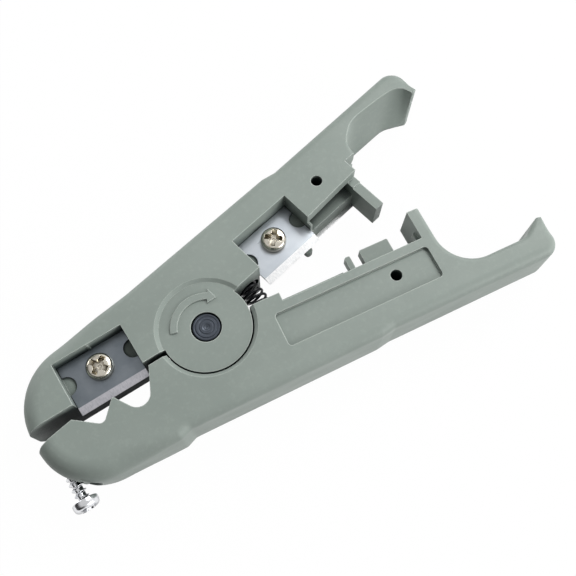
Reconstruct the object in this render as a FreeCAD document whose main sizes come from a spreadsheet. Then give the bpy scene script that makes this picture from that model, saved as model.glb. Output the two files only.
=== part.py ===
import FreeCAD, Part
import Sketcher
import math
import os

# Hand-held cable stripper that works like a clothes-peg, lying on its back face.
# The pivot axis is Z, the lower arm runs along X, and the upper arm stands open by the sum of both jaw tilts.

sizes = {
    # Both arms
    "thickness": 15.0,
    "lower_jaw_tilt": 7.3,
    "upper_jaw_tilt": 11.7,
    "disc_radius": 10.4,
    "socket_gap": 0.3,
    "turn_gap": 0.3,
    "disc_recess": 0.6,
    "rim_bevel": 0.9,
    "edge_round": 2.3,
    "nose_round": 4.5,
    "ring_round": 1.2,
    # Outer edge: the upper arm is slimmer at the cheek, and each nose is a wide arc
    "upper_nose_setback": 4.6,
    "upper_nose_side": 21.5,
    "upper_nose_radius": 14.5,
    "upper_cheek_side": 19.3,
    "upper_cheek_ramp": 6.5,
    "upper_waist_side": 18.9,
    "upper_grip_shoulder": 18.55,
    "upper_grip_side": 17.8,
    "lower_nose_setback": 3.9,
    "lower_nose_side": 21.8,
    "lower_nose_radius": 13.5,
    "lower_cheek_side": 20.4,
    "lower_cheek_ramp": 2.5,
    "lower_waist_side": 19.3,
    "lower_grip_shoulder": 18.8,
    "lower_grip_side": 18.25,
    "cheek_end": 14.5,
    "grip_start": 38.5,
    "grip_ramp": 3.5,
    "tail_side": 18.4,
    "tail_radius": 3.8,
    "tail_back_round": 3.5,
    "ramp_round": 2.6,
    "cheek_round": 2.0,
    # Finger ring
    "lower_ring_span": 19.3,
    "upper_ring_span": 16.2,
    "lower_ring_depth": 12.1,
    "upper_ring_depth": 11.8,
    "ring_radius": 9.0,
    "ring_near": 4.4,
    "lower_hook_length": 6.8,
    "upper_hook_length": 8.4,
    "lower_hook_bend": 3.5,
    "upper_hook_bend": 7.0,
    "hook_rise": 9.0,
    "hook_tip": 2.2,
    "tail_lean": 0.9,
    "tip_bevel": 0.3,
    "tip_round": 0.5,
    # Jaws, measured from the pivot along the line on which they meet: each step starts where the last one ends
    "ledge": 15.1,
    "ledge_drop": 0.9,
    "second_notch_step": 4.8,
    "second_notch_depth": 11.1,
    "second_notch_round": 2.8,
    "ridge_step": 5.1,
    "ridge_drop": 2.7,
    "ridge_round": 0.4,
    "first_notch_step": 4.2,
    "first_notch_depth": 7.0,
    "first_notch_round": 1.3,
    "shoulder_step": 5.4,
    "shoulder_drop": 2.4,
    "lip_step": 8.2,
    "lip_drop": 3.8,
    "tip_step": 1.4,
    "tip_drop": 4.3,
    "upper_jaw_step": 0.1,
    "upper_jaw_rise": 0.3,
    "jaw_root": 9.0,
    # Inner edge of the lower arm
    "lower_top": 0.2,
    "shoulder_end": 18.05,
    "front_wall_drop": 1.9,
    "shear_gap": 0.15,
    "chip_slit": 1.1,
    "chip_depth": 3.4,
    "anvil_end": 35.0,
    "deck_drop": 0.5,
    "end_wall": 54.1,
    "end_wall_width": 3.2,
    "end_wall_top": 5.4,
    "end_wall_back": 4.9,
    "rib_width": 0.8,
    "rib_top": 1.2,
    "rib_back": 9.0,
    "rib_front": 13.0,
    # Stop tabs of the lower arm
    "tab_back": 8.5,
    "tab_thick": 2.7,
    "small_tab": 36.3,
    "small_tab_width": 1.4,
    "small_tab_top": 2.65,
    "large_tab": 40.3,
    "large_tab_width": 7.6,
    "large_tab_top": 2.85,
    "tab_round": 0.4,
    # Label recess of the lower arm
    "label_start": 14.8,
    "label_end": 54.1,
    "label_top": 4.1,
    "label_bottom": 12.3,
    "label_depth": 0.8,
    "label_round": 1.0,
    # Inner edge of the upper arm
    "upper_underside": 1.9,
    "relief_start": 52.6,
    "relief_width": 3.5,
    "relief_top": 7.5,
    "ring_start_gap": 0.9,
    "front_deck_back": 11.7,
    "front_deck_near": 3.1,
    "front_deck_far": 4.0,
    "slot_back": 8.0,
    "slot_top": 6.0,
    "partition": 0.6,
    "stop_block_width": 2.5,
    "stop_block_drop": 5.9,
    "stop_block_back": 3.5,
    "stop_block_front": 11.2,
    "block_gap": 0.5,
    "block_floor_gap": 0.9,
    "nub_place": 33.7,
    "nub_drop": 0.3,
    "nub_radius": 1.0,
    "nub_round": 0.8,
    "nub_length": 2.0,
    "nub_gap": 0.4,
    "scoop_setback": 1.2,
    "scoop_end_gap": 2.9,
    "scoop_rise": 2.6,
    "scoop_taper": 20.0,
    "scoop_depth": 6.0,
    "scoop_round": 5.0,
    # Blades and their seats
    "blade_length": 16.7,
    "blade_edge": 7.45,
    "blade_back": 4.85,
    "blade_thick": 0.6,
    "blade_bevel": 1.8,
    "blade_land": 0.05,
    "blade_notch": 2.3,
    "blade_hole": 1.7,
    "seat_gap": 0.15,
    "strip_seat": 10.8,
    "strip_screw_reach": 24.4,
    "strip_screw_rise": 5.65,
    "cut_seat": 9.2,
    "cut_screw_reach": 26.85,
    "cut_screw_rise": 6.05,
    "crush_rib": 0.35,
    "crush_rib_proud": 0.14,
    "crush_rib_drop": 0.5,
    "flat_seat": 3.0,
    "upper_flat_reach": 43.7,
    "upper_flat_rise": 8.45,
    "lower_flat_reach": 44.45,
    "lower_flat_drop": 7.35,
    # Blade screws
    "screw_head_radius": 3.1,
    "screw_head_height": 2.1,
    "screw_radius": 1.35,
    "screw_length": 6.0,
    "screw_fit": 0.05,
    "screw_tip_room": 0.8,
    "screw_tip_bevel": 0.8,
    "screw_base_round": 0.2,
    "screw_crown_round": 1.6,
    "strip_screw_turn": 24.0,
    "cut_screw_turn": 38.0,
    "recess_span": 3.4,
    "recess_width": 0.8,
    "recess_depth": 1.3,
    "recess_taper": 12.0,
    # Depth screw in the nose of the lower jaw
    "depth_screw_setback": 3.0,
    "depth_screw_radius": 1.5,
    "depth_screw_length": 14.65,
    "depth_screw_head": 2.9,
    "depth_screw_head_height": 2.2,
    "depth_screw_fit": 0.06,
    "depth_tip_gap": 2.8,
    "depth_bore_room": 2.3,
    "spot_face_drop": 13.6,
    "spot_face_radius": 4.9,
    "spot_face_length": 9.6,
    # Pivot pin
    "pin_radius": 2.5,
    "pin_fit": 0.05,
    "pin_head_radius": 3.35,
    "pin_head_height": 1.5,
    "pin_head_gap": 0.15,
    "pin_head_sink": 0.2,
    "pin_seat_gap": 0.1,
    "pin_groove": 0.15,
    "outer_groove_rim": 2.81,
    "outer_groove_floor": 2.61,
    "inner_groove_floor": 1.94,
    "inner_groove_rim": 1.74,
    "centre_dish_rim": 1.34,
    "centre_dish_floor": 1.14,
    # Return spring
    "spring_reach": 14.6,
    "spring_radius": 2.8,
    "spring_wire": 0.45,
    "spring_turns": 7.0,
    "spring_seat": 6.0,
    "spring_seat_gap": 0.05,
    "spring_fit": 0.3,
}

doc = FreeCAD.newDocument("cable_stripper")
sheet = doc.addObject("Spreadsheet::Sheet", "Sizes")
for row, (alias, number) in enumerate(sizes.items(), start=1):
    sheet.set("A%d" % row, alias.replace("_", " "))
    sheet.set("B%d" % row, str(number))
    sheet.setAlias("B%d" % row, alias)
doc.recompute()


# A size that carries its number and the expression that gives it, so that a drawn point follows the sheet
class Size:
    def __init__(self, number, text):
        self.number = number
        self.text = text

    def joined(self, other, sign, number):
        return Size(number, "(%s %s %s)" % (self.text, sign, as_size(other).text))

    def __add__(self, other):
        return self.joined(other, "+", self.number + as_size(other).number)

    def __radd__(self, other):
        return as_size(other) + self

    def __sub__(self, other):
        return self.joined(other, "-", self.number - as_size(other).number)

    def __rsub__(self, other):
        return as_size(other) - self

    def __mul__(self, other):
        return self.joined(other, "*", self.number * as_size(other).number)

    def __rmul__(self, other):
        return as_size(other) * self

    def __truediv__(self, other):
        return self.joined(other, "/", self.number / as_size(other).number)

    def __neg__(self):
        return as_size(0) - self


def as_size(item):
    return item if isinstance(item, Size) else Size(float(item), repr(item))


def get(alias):
    return Size(float(sheet.get(alias)), "Sizes." + alias)


def cosine(angle):
    return Size(math.cos(math.radians(angle.number)), "cos(%s)" % angle.text)


def sine(angle):
    return Size(math.sin(math.radians(angle.number)), "sin(%s)" % angle.text)


def turned(x, y, angle):
    return (x * cosine(angle) - y * sine(angle), x * sine(angle) + y * cosine(angle))


def bind(item, path, size):
    item.setExpression(path, as_size(size).text)


def vector_text(x, y, z):
    return "vector(%s; %s; %s)" % (as_size(x).text, as_size(y).text, as_size(z).text)


# Sets an object on a point, first turned about its own axis and then about Z
def place(item, x, y, z, angle=0, axis=(0, 0, 1), tip=0):
    spin = "rotation(vector(0; 0; 1); %s)" % as_size(angle).text
    flip = "rotation(vector(%d; %d; %d); %s)" % (axis + (as_size(tip).text,))
    item.setExpression("Placement", "placement(%s; %s * %s)" % (vector_text(x, y, z), spin, flip))


thickness = get("thickness")
lower_tilt = get("lower_jaw_tilt")
upper_tilt = get("upper_jaw_tilt")
open_angle = lower_tilt + upper_tilt
blade_half = get("blade_length") / 2
seat_half = blade_half + get("seat_gap")
lower_ring = get("end_wall") + get("end_wall_width")
upper_ring = get("relief_start") + get("relief_width")
lower_reach = lower_ring + get("lower_ring_span") + get("lower_hook_length")
upper_reach = upper_ring + get("ring_start_gap") + get("upper_ring_span") + get("upper_hook_length")
second_notch = get("ledge") + get("second_notch_step")
ridge = second_notch + get("ridge_step")
first_notch = ridge + get("first_notch_step")
shoulder = first_notch + get("shoulder_step")
lip_reach = shoulder + get("lip_step")
lower_jaw_reach = lip_reach + get("tip_step")
upper_jaw_reach = lower_jaw_reach + get("upper_jaw_step")
depth_screw_reach = lower_jaw_reach - get("depth_screw_setback")

# How far a cutting tool runs past a face, how deep a joined piece sinks in, and the least step past a face
over = 1.0
sink = 0.1
lip = 0.01


# Draws a closed outline through corners of x, y and, where a corner is rounded, its radius
def draw_outline(sketch, corners):
    points = [FreeCAD.Vector(as_size(c[0]).number, as_size(c[1]).number, 0) for c in corners]
    count = len(corners)
    arrive = []
    leave = []
    arcs = []
    for i in range(count):
        before = (points[i - 1] - points[i]).normalize()
        after = (points[(i + 1) % count] - points[i]).normalize()
        x, y, *rounding = corners[i]
        if not rounding:
            arrive.append(points[i])
            leave.append(points[i])
            arcs.append(None)
            continue
        radius = as_size(rounding[0]).number
        half = before.getAngle(after) / 2
        arrive.append(points[i] + before * (radius / math.tan(half)))
        leave.append(points[i] + after * (radius / math.tan(half)))
        centre = points[i] + (before + after).normalize() * (radius / math.sin(half))
        left_turn = before.cross(after).z < 0
        arcs.append((centre, radius, left_turn))
    lines = []
    for i in range(count):
        lines.append(sketch.addGeometry(Part.LineSegment(leave[i], arrive[(i + 1) % count]), False))
    for i in range(count):
        line_in = lines[i - 1]
        line_out = lines[i]
        if arcs[i] is None:
            sketch.addConstraint(Sketcher.Constraint("Coincident", line_in, 2, line_out, 1))
            fix_point(sketch, line_out, 1, corners[i], points[i])
            continue
        centre, radius, left_turn = arcs[i]
        ends = (arrive[i], leave[i]) if left_turn else (leave[i], arrive[i])
        angles = [math.atan2(end.y - centre.y, end.x - centre.x) for end in ends]
        circle = Part.Circle(centre, FreeCAD.Vector(0, 0, 1), radius)
        arc = sketch.addGeometry(Part.ArcOfCircle(circle, angles[0], angles[1]), False)
        corner = sketch.addGeometry(Part.Point(points[i]), True)
        fix_point(sketch, corner, 1, corners[i], points[i])
        sketch.addConstraint(Sketcher.Constraint("PointOnObject", corner, 1, line_in))
        sketch.addConstraint(Sketcher.Constraint("PointOnObject", corner, 1, line_out))
        sketch.addConstraint(Sketcher.Constraint("Tangent", line_in, 2, arc, 1 if left_turn else 2))
        sketch.addConstraint(Sketcher.Constraint("Tangent", line_out, 1, arc, 2 if left_turn else 1))
        index = sketch.addConstraint(Sketcher.Constraint("Radius", arc, radius))
        bind(sketch, "Constraints[%d]" % index, corners[i][2])


def fix_point(sketch, geometry, end, corner, point):
    for kind, size, number in (("DistanceX", corner[0], point.x), ("DistanceY", corner[1], point.y)):
        index = sketch.addConstraint(Sketcher.Constraint(kind, -1, 1, geometry, end, number))
        bind(sketch, "Constraints[%d]" % index, size)


def prism(name, corners, bottom, height, taper=0):
    sketch = doc.addObject("Sketcher::SketchObject", name + "_outline")
    draw_outline(sketch, corners)
    bind(sketch, "Placement.Base.z", bottom)
    solid = doc.addObject("Part::Extrusion", name)
    solid.Base = sketch
    solid.DirMode = "Custom"
    solid.Dir = FreeCAD.Vector(0, 0, 1)
    solid.Solid = True
    bind(solid, "LengthFwd", height)
    bind(solid, "TaperAngle", taper)
    return solid


def rectangle(left, bottom, right, top, radius=None):
    corners = [(left, bottom), (right, bottom), (right, top), (left, top)]
    if radius is None:
        return corners
    return [corner + (radius,) for corner in corners]


def jaw_rectangle(left, bottom, right, top, angle):
    return [turned(as_size(x), as_size(y), angle) for x, y in rectangle(left, bottom, right, top)]


def cylinder(name, x, y, bottom, radius, height):
    solid = doc.addObject("Part::Cylinder", name)
    bind(solid, "Radius", radius)
    bind(solid, "Height", height)
    place(solid, x, y, bottom)
    return solid


def cone(name, bottom, low_radius, high_radius, height):
    solid = doc.addObject("Part::Cone", name)
    bind(solid, "Radius1", low_radius)
    bind(solid, "Radius2", high_radius)
    bind(solid, "Height", height)
    place(solid, 0, 0, bottom)
    return solid


def joined(name, solids):
    whole = doc.addObject("Part::MultiFuse", name)
    whole.Shapes = solids
    whole.Refine = True
    return whole


def cut(name, base, tools):
    whole = doc.addObject("Part::Cut", name)
    whole.Base = base
    whole.Tool = joined(name + "_tools", tools)
    whole.Refine = True
    return whole


# Rounds the edges of a slab: softest at the nose, finest at the hook's tip and in the finger ring
def rounded_slab(arm, slab, side, jaw_tip, reach, ring_start):
    doc.recompute()
    nose_start = jaw_tip[0].number + get(arm + "_nose_radius").number
    nose_low = jaw_tip[1].number * side + lip
    ring_floor = get(arm + "_ring_depth").number + over
    tip_level = get("hook_rise").number + get("tip_bevel").number
    tail_start = reach.number - get("hook_tip").number
    tail_corner = reach.number - get("tail_radius").number - over
    ring_low = ring_start.number - sink

    def outer_radius(point):
        if point.x < nose_start + over:
            return get("nose_round").number
        if point.y * side < tip_level + over / 2:
            return get("tip_round").number
        if point.x > tail_corner and point.z < lip:
            return get("tail_back_round").number
        return get("edge_round").number

    def ring_radius(point):
        return get("tip_round" if point.x > tail_start - over else "ring_round").number

    def is_outer(point):
        nose = point.x < nose_start and point.y * side > nose_low
        tail = point.x > tail_start and point.y * side > tip_level
        return nose or tail or point.y * side > ring_floor

    def is_ring(point):
        return point.x > ring_low and point.y * side > -get("end_wall_top").number and not is_outer(point)

    edges = []
    for number, edge in enumerate(slab.Shape.Edges, start=1):
        if edge.BoundBox.ZLength > lip:
            continue
        middle = edge.valueAt((edge.FirstParameter + edge.LastParameter) / 2)
        first = edge.valueAt(edge.FirstParameter)
        last = edge.valueAt(edge.LastParameter)
        if is_outer(middle):
            edges.append((number, outer_radius(first), outer_radius(last)))
        elif is_ring(middle) and middle.x < tail_start:
            edges.append((number, ring_radius(first), ring_radius(last)))
    soft = doc.addObject("Part::Fillet", arm + "_slab_soft")
    soft.Base = slab
    soft.Edges = edges
    return soft


# The edge that the hand holds, from the hook to the nose
def outer_edge(arm, side, reach, jaw_reach):
    cheek_end = -get("cheek_end")
    grip_start = get("grip_start")
    nose_end = get(arm + "_nose_setback") - jaw_reach
    return [
        (reach - get("hook_tip"), side * get("hook_rise")),
        (reach - get("tail_lean"), side * (get("hook_rise") + get("tip_bevel"))),
        (reach, side * get("tail_side"), get("tail_radius")),
        (grip_start, side * get(arm + "_grip_side"), get("ramp_round")),
        (grip_start - get("grip_ramp"), side * get(arm + "_grip_shoulder"), get("ramp_round")),
        (cheek_end + get(arm + "_cheek_ramp"), side * get(arm + "_waist_side"), get("cheek_round")),
        (cheek_end, side * get(arm + "_cheek_side"), get("cheek_round")),
        (nose_end, side * get(arm + "_nose_side"), get(arm + "_nose_radius")),
    ]


# Lower arm: the notched jaw, the shear anvil, the stop tabs, the end wall and half of the finger ring
def lower_slab():
    jaw = [
        (-lower_jaw_reach, -get("tip_drop")),
        (-lip_reach, -get("lip_drop")),
        (-shoulder, -get("shoulder_drop")),
        (-first_notch, -get("first_notch_depth"), get("first_notch_round")),
        (-ridge, -get("ridge_drop"), get("ridge_round")),
        (-second_notch, -get("second_notch_depth"), get("second_notch_round")),
        (-get("ledge"), -get("ledge_drop")),
        (-get("jaw_root"), -get("ledge_drop")),
    ]
    corners = [turned(c[0], c[1], lower_tilt) + c[2:] for c in jaw]
    corners += [
        (get("jaw_root"), get("lower_top")),
        (get("anvil_end"), get("lower_top")),
        (get("anvil_end"), -get("deck_drop")),
        (get("end_wall"), -get("deck_drop")),
        (get("end_wall"), get("end_wall_top")),
        (lower_ring, get("end_wall_top")),
        (lower_ring, -get("lower_ring_depth"), get("ring_radius")),
        (lower_reach - get("lower_hook_length"), -get("lower_ring_depth"), get("lower_hook_bend")),
    ]
    corners += outer_edge("lower", -1, lower_reach, lower_jaw_reach)
    slab = prism("lower_slab", corners, 0, thickness)
    return rounded_slab("lower", slab, -1, corners[0], lower_reach, lower_ring)


def tab(name, start, width, top):
    bottom = -get("front_wall_drop")
    corners = [
        (start, bottom - over),
        (start, top, get("tab_round")),
        (start + width, top, get("tab_round")),
        (start + width, bottom - over),
    ]
    return prism(name, corners, get("tab_back"), get("tab_thick"))


def flat_blade_pocket(name, x, y, side):
    far = y + side * (get("blade_back") + get("seat_gap"))
    near = y - side * (get("blade_edge") + blade_half)
    return prism(name, rectangle(x - seat_half, near, x + seat_half, far), -over, get("flat_seat") + over)


def screw_hole(name, x, y, bottom, depth):
    return cylinder(name, x, y, bottom, get("screw_radius") + get("screw_fit"), depth)


def pivot_cuts(name, front):
    bore = cylinder(name + "_bore", 0, 0, -over, get("pin_radius") + get("pin_fit"), thickness + 2 * over)
    seat_depth = get("pin_head_sink") + get("pin_head_height") + get("pin_seat_gap")
    head_radius = get("pin_head_radius") + get("pin_head_gap")
    recess = get("disc_recess")
    half_gap = get("turn_gap") / 2
    socket_radius = get("disc_radius") + get("socket_gap")
    bevel = get("rim_bevel")
    if front:
        seat_floor = thickness - recess - seat_depth
        seat = cylinder(name + "_seat", 0, 0, seat_floor, head_radius, seat_depth + recess + over)
        dish = cone(name + "_dish", thickness - recess, socket_radius, socket_radius + bevel, recess + lip)
        socket = cylinder(name + "_socket", 0, 0, -over, socket_radius, thickness / 2 + half_gap + over)
        rim = cone(name + "_rim", -lip, socket_radius + bevel, socket_radius, bevel + lip)
    else:
        seat = cylinder(name + "_seat", 0, 0, -over, head_radius, recess + seat_depth + over)
        dish = cone(name + "_dish", -lip, socket_radius + bevel, socket_radius, recess + lip)
        socket = cylinder(name + "_socket", 0, 0, thickness / 2 - half_gap, socket_radius, thickness)
        rim = cone(name + "_rim", thickness - bevel, socket_radius, socket_radius + bevel, bevel + lip)
    return [bore, seat, dish, socket, rim]


def spring_pocket(name, side):
    radius = get("spring_radius") + get("spring_fit")
    solid = doc.addObject("Part::Cylinder", name)
    bind(solid, "Radius", radius)
    bind(solid, "Height", get("spring_seat") + radius)
    place(solid, get("spring_reach"), side * get("spring_seat"), thickness / 2, 0, (1, 0, 0), side * 90)
    return solid


def make_lower_arm():
    slab = lower_slab()
    disc = cylinder("lower_disc", 0, 0, 0, get("disc_radius"), thickness / 2 - get("turn_gap") / 2)
    small = tab("small_tab", get("small_tab"), get("small_tab_width"), get("small_tab_top"))
    large = tab("large_tab", get("large_tab"), get("large_tab_width"), get("large_tab_top"))
    rib_left = get("end_wall") - get("rib_width")
    rib_corners = [
        (rib_left, -get("front_wall_drop") - over),
        (rib_left, get("rib_top") - get("rib_width")),
        (get("end_wall") + sink, get("rib_top")),
        (get("end_wall") + sink, -get("front_wall_drop") - over),
    ]
    rib = prism("end_rib", rib_corners, get("rib_back"), get("rib_front") - get("rib_back"))
    front = get("cut_seat") - get("shear_gap")
    step = prism(
        "front_step",
        rectangle(get("shoulder_end"), -get("front_wall_drop"), get("end_wall"), get("end_wall_top")),
        front,
        thickness,
    )
    slit = prism(
        "chip_slit",
        rectangle(get("shoulder_end"), -get("chip_depth"), get("anvil_end"), get("lower_top") + over),
        front,
        get("chip_slit"),
    )
    wall_back = prism(
        "end_wall_back",
        rectangle(get("end_wall") - over, -get("deck_drop"), get("end_wall") + get("end_wall_width") + over,
                  get("end_wall_top") + over),
        -over,
        get("end_wall_back") + over,
    )
    block_left = get("relief_start") - get("stop_block_width")
    cavity = prism(
        "block_cavity",
        rectangle(block_left - get("block_gap"), -get("stop_block_drop") - get("block_floor_gap"),
                  get("end_wall") - get("rib_width"), get("rib_top")),
        get("flat_seat") - sink,
        get("stop_block_front") + get("block_gap") - get("flat_seat") + sink,
    )
    nub_room = get("nub_radius") + get("nub_gap")
    nub_notch = prism(
        "nub_notch",
        rectangle(get("nub_place") - nub_room, -get("nub_drop") - get("nub_gap"),
                  get("nub_place") + nub_room, get("lower_top") + over),
        -over,
        get("nub_length") + get("nub_gap") + over,
    )
    label = prism(
        "label_recess",
        rectangle(get("label_start"), -get("label_bottom"), get("label_end"), -get("label_top"),
                  get("label_round")),
        thickness - get("label_depth"),
        get("label_depth") + over,
    )
    flat_x = get("lower_flat_reach")
    flat_y = -get("lower_flat_drop")
    blade_pocket = flat_blade_pocket("lower_flat_pocket", flat_x, flat_y, -1)
    blade_hole = screw_hole("lower_flat_hole", flat_x, flat_y, -over, thickness + 2 * over)
    bore = doc.addObject("Part::Cylinder", "depth_screw_hole")
    bind(bore, "Radius", get("depth_screw_radius") + get("depth_screw_fit"))
    bind(bore, "Height", get("depth_screw_length") + 2 * get("depth_bore_room"))
    spot = doc.addObject("Part::Cylinder", "depth_spot_face")
    bind(spot, "Radius", get("spot_face_radius"))
    bind(spot, "Height", get("spot_face_length"))
    bore_x, bore_y = turned(-depth_screw_reach, get("depth_bore_room"), lower_tilt)
    place(bore, bore_x, bore_y, thickness / 2, lower_tilt, (1, 0, 0), 90)
    spot_x, spot_y = turned(-depth_screw_reach, -get("spot_face_drop"), lower_tilt)
    place(spot, spot_x, spot_y, thickness / 2, lower_tilt, (1, 0, 0), 90)
    tools = [step, slit, wall_back, cavity, nub_notch, label, blade_pocket, blade_hole, bore, spot]
    tools.append(spring_pocket("lower_spring_pocket", -1))
    tools += pivot_cuts("lower_pivot", False)
    body = joined("lower_body", [slab, disc])
    opened = cut("lower_opened", body, tools)
    arm = joined("lower_arm", [opened, small, large, rib])
    return arm


# Upper arm: the jaw with the stripping blade, the pocket of the cutting blade, the slot and the stop block
def upper_slab():
    corners = [
        turned(-upper_jaw_reach, get("upper_jaw_rise"), -upper_tilt),
        turned(-get("jaw_root"), get("upper_jaw_rise"), -upper_tilt),
        (get("jaw_root"), get("upper_underside")),
        (get("relief_start"), get("upper_underside")),
        (get("relief_start"), get("relief_top")),
        (upper_ring, get("relief_top")),
        (upper_ring + get("ring_start_gap"), get("upper_ring_depth"), get("ring_near")),
        (upper_reach - get("upper_hook_length"), get("upper_ring_depth"), get("upper_hook_bend")),
    ]
    corners += outer_edge("upper", 1, upper_reach, upper_jaw_reach)
    slab = prism("upper_slab", corners, 0, thickness)
    return rounded_slab("upper", slab, 1, corners[0], upper_reach, upper_ring)


def make_upper_arm():
    slab = upper_slab()
    disc_floor = thickness / 2 + get("turn_gap") / 2
    disc = cylinder("upper_disc", 0, 0, disc_floor, get("disc_radius"), thickness - disc_floor)
    strip_x = -get("strip_screw_reach")
    strip_y = get("strip_screw_rise")
    strip_top = strip_y + get("blade_back") + get("seat_gap")
    strip_pocket = prism(
        "strip_pocket",
        jaw_rectangle(strip_x - seat_half, -over, strip_x + seat_half, strip_top, -upper_tilt),
        get("strip_seat"),
        thickness,
    )
    cut_x = get("cut_screw_reach")
    cut_y = get("cut_screw_rise")
    cut_pocket = prism(
        "cut_pocket",
        rectangle(cut_x - seat_half, -over, cut_x + seat_half, cut_y + get("blade_back") + get("seat_gap")),
        get("cut_seat"),
        thickness,
    )
    slot_left = cut_x + seat_half + get("partition")
    slot_right = get("relief_start") - get("stop_block_width")
    slot = prism(
        "tab_slot",
        rectangle(slot_left, -over, slot_right, get("slot_top")),
        get("slot_back"),
        get("front_deck_back") - get("slot_back"),
    )
    deck_corners = [
        (slot_left - get("partition") - sink, as_size(0)),
        (get("relief_start") + sink, as_size(0)),
        (get("relief_start") + sink, get("front_deck_far")),
        (slot_left - get("partition") - sink, get("front_deck_near")),
    ]
    front_deck = prism("front_deck", deck_corners, get("front_deck_back"), thickness)
    block = prism(
        "stop_block",
        rectangle(slot_right, -get("stop_block_drop"), get("relief_start"), get("upper_underside") + over),
        get("stop_block_back"),
        get("stop_block_front") - get("stop_block_back"),
    )
    nub_corners = [
        (get("nub_place") - get("nub_radius"), get("upper_underside") + over),
        (get("nub_place") - get("nub_radius"), -get("nub_drop"), get("nub_round")),
        (get("nub_place") + get("nub_radius"), -get("nub_drop"), get("nub_round")),
        (get("nub_place") + get("nub_radius"), get("upper_underside") + over),
    ]
    nub = prism("cable_nub", nub_corners, 0, get("nub_length"))
    scoop_start = upper_ring + get("scoop_setback")
    scoop_end = upper_reach - get("scoop_end_gap")
    scoop_top = get("upper_ring_depth") + get("scoop_rise")
    scoop_corners = [
        (scoop_start, get("relief_top")),
        (scoop_end, get("hook_rise") - over),
        (scoop_end, scoop_top, get("scoop_round")),
        (scoop_start, scoop_top, get("scoop_round")),
    ]
    scoop = prism("thumb_scoop", scoop_corners, thickness + lip, -get("scoop_depth"), -get("scoop_taper"))
    flat_x = get("upper_flat_reach")
    flat_y = get("upper_flat_rise")
    blade_pocket = flat_blade_pocket("upper_flat_pocket", flat_x, flat_y, 1)
    blade_hole = screw_hole("upper_flat_hole", flat_x, flat_y, -over, thickness + 2 * over)
    hole_depth = get("screw_length") - get("blade_thick") + get("screw_tip_room")
    strip_hole_x, strip_hole_y = turned(strip_x, strip_y, -upper_tilt)
    strip_floor = get("strip_seat") - hole_depth
    cut_floor = get("cut_seat") - hole_depth
    strip_hole = screw_hole("strip_hole", strip_hole_x, strip_hole_y, strip_floor, hole_depth + over)
    cut_hole = screw_hole("cut_hole", cut_x, cut_y, cut_floor, hole_depth + over)
    tools = [strip_pocket, cut_pocket, slot, front_deck, scoop, blade_pocket]
    tools += [blade_hole, strip_hole, cut_hole, spring_pocket("upper_spring_pocket", 1)]
    tools += pivot_cuts("upper_pivot", True)
    body = joined("upper_body", [slab, disc])
    opened = cut("upper_opened", body, tools)
    rib_x, rib_y = turned(strip_x, strip_top, -upper_tilt)
    rib_y += get("crush_rib") - get("crush_rib_proud")
    rib_height = thickness - get("strip_seat") - get("crush_rib_drop")
    rib = cylinder("crush_rib", rib_x, rib_y, get("strip_seat"), get("crush_rib"), rib_height)
    arm = joined("upper_arm", [opened, block, nub, rib])
    place(arm, 0, 0, 0, open_angle)
    return arm


def origin_plane(body, role):
    return next(item for item in body.Origin.OriginFeatures if item.Role == role)


def body_sketch(body, name, role):
    sketch = body.newObject("Sketcher::SketchObject", name)
    sketch.AttachmentSupport = [(origin_plane(body, role), "")]
    sketch.MapMode = "FlatFace"
    return sketch


def padded(body, name, corners, length):
    sketch = body_sketch(body, name + "_outline", "XY_Plane")
    draw_outline(sketch, corners)
    pad = body.newObject("PartDesign::Pad", name)
    pad.Profile = sketch
    bind(pad, "Length", length)
    return pad


def add_circle(sketch, x, y, radius):
    x, y, radius = as_size(x), as_size(y), as_size(radius)
    centre = FreeCAD.Vector(x.number, y.number, 0)
    circle = sketch.addGeometry(Part.Circle(centre, FreeCAD.Vector(0, 0, 1), radius.number), False)
    fix_point(sketch, circle, 3, (x, y), centre)
    index = sketch.addConstraint(Sketcher.Constraint("Radius", circle, radius.number))
    bind(sketch, "Constraints[%d]" % index, radius)


# Blade: a flat with a bevelled edge, a round notch in each end and a screw hole at the origin
def make_blade(name, spot):
    body = doc.addObject("PartDesign::Body", name)
    edge = -get("blade_edge")
    flat = get("blade_thick")
    padded(body, name + "_flat", rectangle(-blade_half, edge, blade_half, get("blade_back")), flat)
    holes = body_sketch(body, name + "_holes", "XY_Plane")
    add_circle(holes, 0, 0, get("blade_hole"))
    add_circle(holes, -blade_half, 0, get("blade_notch"))
    add_circle(holes, blade_half, 0, get("blade_notch"))
    pocket = body.newObject("PartDesign::Pocket", name + "_cuts")
    pocket.Profile = holes
    pocket.Reversed = True
    bind(pocket, "Length", flat)
    bevel_sketch = body_sketch(body, name + "_bevel_outline", "YZ_Plane")
    bevel_corners = [
        (edge - over, flat + over),
        (edge - over, as_size(0)),
        (edge, get("blade_land")),
        (edge + get("blade_bevel"), flat),
        (edge + get("blade_bevel"), flat + over),
    ]
    draw_outline(bevel_sketch, bevel_corners)
    bevel = body.newObject("PartDesign::Pocket", name + "_bevel")
    bevel.Profile = bevel_sketch
    bevel.Midplane = True
    bind(bevel, "Length", get("blade_length") + 2 * over)
    spot(body)
    return body


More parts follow.
